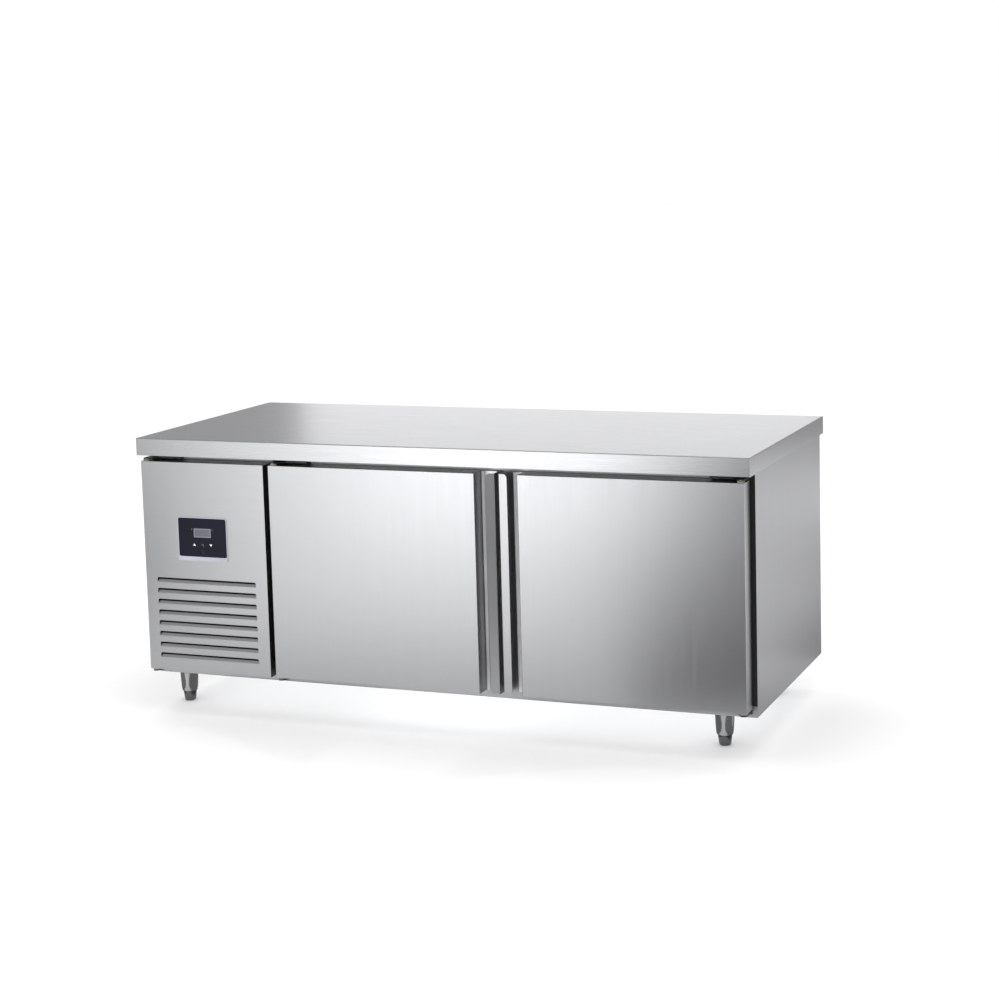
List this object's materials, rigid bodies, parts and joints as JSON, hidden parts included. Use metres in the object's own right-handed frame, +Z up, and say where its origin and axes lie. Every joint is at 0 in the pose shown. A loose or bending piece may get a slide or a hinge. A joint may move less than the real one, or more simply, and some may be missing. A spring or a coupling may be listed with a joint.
{
  "type": "under counter fridge",
  "caption": "Stainless under counter fridge with a flat worktop, louvred machine bay, two insulated doors with full-height folded pulls, wire shelves and adjustable feet.",
  "frame": {"origin": "on the floor under the middle of the worktop", "axes": "+X to the right seen from the front, the front faces -Y, +Z up"},
  "size_m": [1.8, 0.8, 0.8],
  "materials": {
    "worktop_steel": "brushed stainless, fine grain along the length",
    "body_steel": "brushed stainless",
    "door_steel": "brushed stainless, fine grain",
    "rear_steel": "galvanised sheet, matte",
    "liner_steel": "bright stainless liner",
    "core_board": "plain core board",
    "foam": "rigid polyurethane foam",
    "gasket_rubber": "matte black magnetic gasket",
    "bracket_metal": "black coated steel",
    "screw_steel": "zinc plated",
    "bush_plastic": "natural nylon",
    "foot_steel": "turned stainless",
    "adjuster_steel": "darker turned steel",
    "shelf_wire": "pale coated wire",
    "compressor_paint": "satin black paint",
    "mount_rubber": "black rubber",
    "coil_aluminium": "aluminium fins",
    "copper_pipe": "copper tube",
    "fan_plastic": "black plastic",
    "motor_metal": "grey motor case",
    "filter_mesh": "black woven filter",
    "box_plastic": "grey plastic",
    "bezel_plastic": "pale silver plastic",
    "face_plastic": "dark glossy membrane",
    "display_panel": "grey display",
    "key_plastic": "dark key",
    "pan_plastic": "dark grey plastic",
    "gland_plastic": "black nylon"
  },
  "bodies": {
    "cabinet": {"worktop_skin": "worktop_steel", "worktop_core": "core_board", "left_side_panel": "body_steel", "right_side_panel": "body_steel", "back_panel": "rear_steel", "rear_cover": "rear_steel", "base_pan": "rear_steel", "bulkhead_panel": "body_steel", "top_front_rail": "body_steel", "bottom_front_rail": "body_steel", "centre_mullion": "body_steel", "cabinet_insulation": "foam", "inner_liner": "liner_steel", "shelf_strips": "liner_steel", "shelf_clips": "liner_steel", "foot_sleeves": "foot_steel", "hinge_brackets": "bracket_metal", "hinge_screws": "screw_steel", "compressor": "compressor_paint", "compressor_mounts": "mount_rubber", "condenser_coil": "coil_aluminium", "condenser_shroud": "rear_steel", "condenser_fan_motor": "motor_metal", "refrigerant_pipes": "copper_pipe", "drain_pan": "pan_plastic", "electrical_box": "box_plastic", "cable_gland": "gland_plastic", "evaporator_coil": "coil_aluminium", "evaporator_cover": "liner_steel", "evaporator_fan_motor": "motor_metal"},
    "left_door": {"left_door_skin": "door_steel", "left_door_handle": "door_steel", "left_door_liner": "liner_steel", "left_door_foam": "foam", "left_door_gasket": "gasket_rubber", "left_door_bushes": "bush_plastic"},
    "right_door": {"right_door_skin": "door_steel", "right_door_handle": "door_steel", "right_door_liner": "liner_steel", "right_door_foam": "foam", "right_door_gasket": "gasket_rubber", "right_door_bushes": "bush_plastic"},
    "machine_door": {"machine_panel": "door_steel", "machine_door_bushes": "bush_plastic", "air_filter": "filter_mesh", "controller_housing": "bezel_plastic", "controller_face": "face_plastic", "controller_display": "display_panel"},
    "key_up": {"key_up": "key_plastic"},
    "key_set": {"key_set": "key_plastic"},
    "key_down": {"key_down": "key_plastic"},
    "key_power": {"key_power": "key_plastic"},
    "condenser_fan": {"condenser_fan": "fan_plastic"},
    "evaporator_fan": {"evaporator_fan": "fan_plastic"},
    "left_shelf": {"left_shelf": "shelf_wire"},
    "right_shelf": {"right_shelf": "shelf_wire"},
    "foot_front_left": {"foot_adjuster_front_left": "adjuster_steel"},
    "foot_front_right": {"foot_adjuster_front_right": "adjuster_steel"},
    "foot_back_left": {"foot_adjuster_back_left": "adjuster_steel"},
    "foot_back_right": {"foot_adjuster_back_right": "adjuster_steel"}
  },
  "joints": [
    {"name": "machine_door_hinge", "type": "hinge", "parent": "cabinet", "child": "machine_door", "pos_m": [-0.875, -0.384, 0.432], "axis": [0, 0, -1], "range_deg": [0, 105]},
    {"name": "left_door_hinge", "type": "hinge", "parent": "cabinet", "child": "left_door", "pos_m": [-0.469, -0.384, 0.432], "axis": [0, 0, -1], "range_deg": [0, 100]},
    {"name": "right_door_hinge", "type": "hinge", "parent": "cabinet", "child": "right_door", "pos_m": [0.871, -0.384, 0.432], "axis": [0, 0, 1], "range_deg": [0, 100]},
    {"name": "condenser_fan_spin", "type": "hinge", "parent": "cabinet", "child": "condenser_fan", "pos_m": [-0.7, -0.235, 0.3], "axis": [0, 1, 0], "continuous": true},
    {"name": "evaporator_fan_spin", "type": "hinge", "parent": "cabinet", "child": "evaporator_fan", "pos_m": [-0.322, 0.05, 0.571], "axis": [1, 0, 0], "continuous": true},
    {"name": "key_up_press", "type": "slide", "parent": "machine_door", "child": "key_up", "axis": [0, 1, 0], "range_m": [0, 0.0005], "stiffness_N_per_m": 400, "springref_m": -0.0002},
    {"name": "key_set_press", "type": "slide", "parent": "machine_door", "child": "key_set", "axis": [0, 1, 0], "range_m": [0, 0.0005], "stiffness_N_per_m": 400, "springref_m": -0.0002},
    {"name": "key_down_press", "type": "slide", "parent": "machine_door", "child": "key_down", "axis": [0, 1, 0], "range_m": [0, 0.0005], "stiffness_N_per_m": 400, "springref_m": -0.0002},
    {"name": "key_power_press", "type": "slide", "parent": "machine_door", "child": "key_power", "axis": [0, 1, 0], "range_m": [0, 0.0005], "stiffness_N_per_m": 400, "springref_m": -0.0002},
    {"name": "left_shelf_lift", "type": "slide", "parent": "cabinet", "child": "left_shelf", "axis": [0, 0, 1], "range_m": [0, 0.03]},
    {"name": "right_shelf_lift", "type": "slide", "parent": "cabinet", "child": "right_shelf", "axis": [0, 0, 1], "range_m": [0, 0.03]},
    {"name": "foot_front_left_adjust", "type": "slide", "parent": "cabinet", "child": "foot_front_left", "axis": [0, 0, -1], "range_m": [0, 0.03]},
    {"name": "foot_front_right_adjust", "type": "slide", "parent": "cabinet", "child": "foot_front_right", "axis": [0, 0, -1], "range_m": [0, 0.03]},
    {"name": "foot_back_left_adjust", "type": "slide", "parent": "cabinet", "child": "foot_back_left", "axis": [0, 0, -1], "range_m": [0, 0.03]},
    {"name": "foot_back_right_adjust", "type": "slide", "parent": "cabinet", "child": "foot_back_right", "axis": [0, 0, -1], "range_m": [0, 0.03]}
  ]
}
